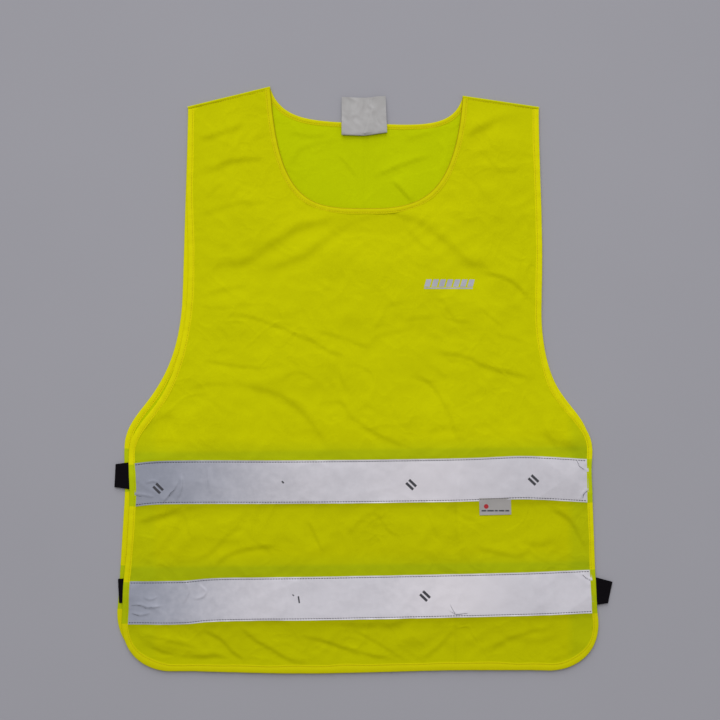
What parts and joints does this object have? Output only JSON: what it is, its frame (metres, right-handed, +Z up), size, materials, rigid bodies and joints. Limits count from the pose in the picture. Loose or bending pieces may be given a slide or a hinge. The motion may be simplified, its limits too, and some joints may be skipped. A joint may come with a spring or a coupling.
{
  "type": "high visibility vest",
  "caption": "Pull-on high visibility tabard vest lying flat, with bound edges, reflective tapes and elastic side straps.",
  "frame": {"origin": "on the surface the vest lies on, under the middle of its outline", "axes": "+Z up, away from the surface, +Y towards the shoulders, +X to the viewer's right"},
  "size_m": [0.574, 0.674, 0.0097],
  "materials": {
    "tricot": "matte",
    "binding": "matte",
    "yellow_thread": "matte",
    "reflective_tape": "satin",
    "grey_thread": "matte",
    "elastic": "matte",
    "care_label": "satin",
    "tape_label": "satin",
    "print": "satin"
  },
  "bodies": {
    "back": {"back_panel": "tricot", "back_edge_binding": "binding", "back_edge_thread": "yellow_thread", "back_neck_binding": "binding", "back_neck_thread": "yellow_thread", "back_upper_tape": "reflective_tape", "back_upper_tape_top_thread": "grey_thread", "back_upper_tape_bottom_thread": "grey_thread", "back_lower_tape": "reflective_tape", "back_lower_tape_top_thread": "grey_thread", "back_lower_tape_bottom_thread": "grey_thread", "left_upper_strap": "elastic", "left_lower_strap": "elastic", "right_upper_strap": "elastic", "right_lower_strap": "elastic", "left_shoulder_seam": "tricot", "right_shoulder_seam": "tricot", "care_label_sewn_end": "care_label", "care_label_thread": "grey_thread"},
    "front": {"front_panel": "tricot", "front_edge_binding": "binding", "front_edge_thread": "yellow_thread", "front_neck_binding": "binding", "front_neck_thread": "yellow_thread", "front_upper_tape": "reflective_tape", "front_upper_tape_top_thread": "grey_thread", "front_upper_tape_bottom_thread": "grey_thread", "front_lower_tape": "reflective_tape", "front_lower_tape_top_thread": "grey_thread", "front_lower_tape_bottom_thread": "grey_thread", "chest_mark": "print"},
    "care_label": {"care_label": "care_label"},
    "tape_label": {"tape_label": "tape_label"}
  },
  "joints": [
    {"name": "front_lift", "type": "hinge", "parent": "back", "child": "front", "pos_m": [0, 0.337, 0.007], "axis": [-1, 0, 0], "range_deg": [0, 9], "deforming": ["left_upper_strap", "left_lower_strap", "right_upper_strap", "right_lower_strap"]},
    {"name": "care_label_flip", "type": "hinge", "parent": "back", "child": "care_label", "pos_m": [0.0005, 0.2825, 0.0039], "axis": [1, 0, 0], "range_deg": [0, 170]},
    {"name": "tape_label_lift", "type": "hinge", "parent": "front", "child": "tape_label", "pos_m": [0.152, -0.1431, 0.0088], "axis": [-1, 0, 0], "range_deg": [0, 110]}
  ]
}
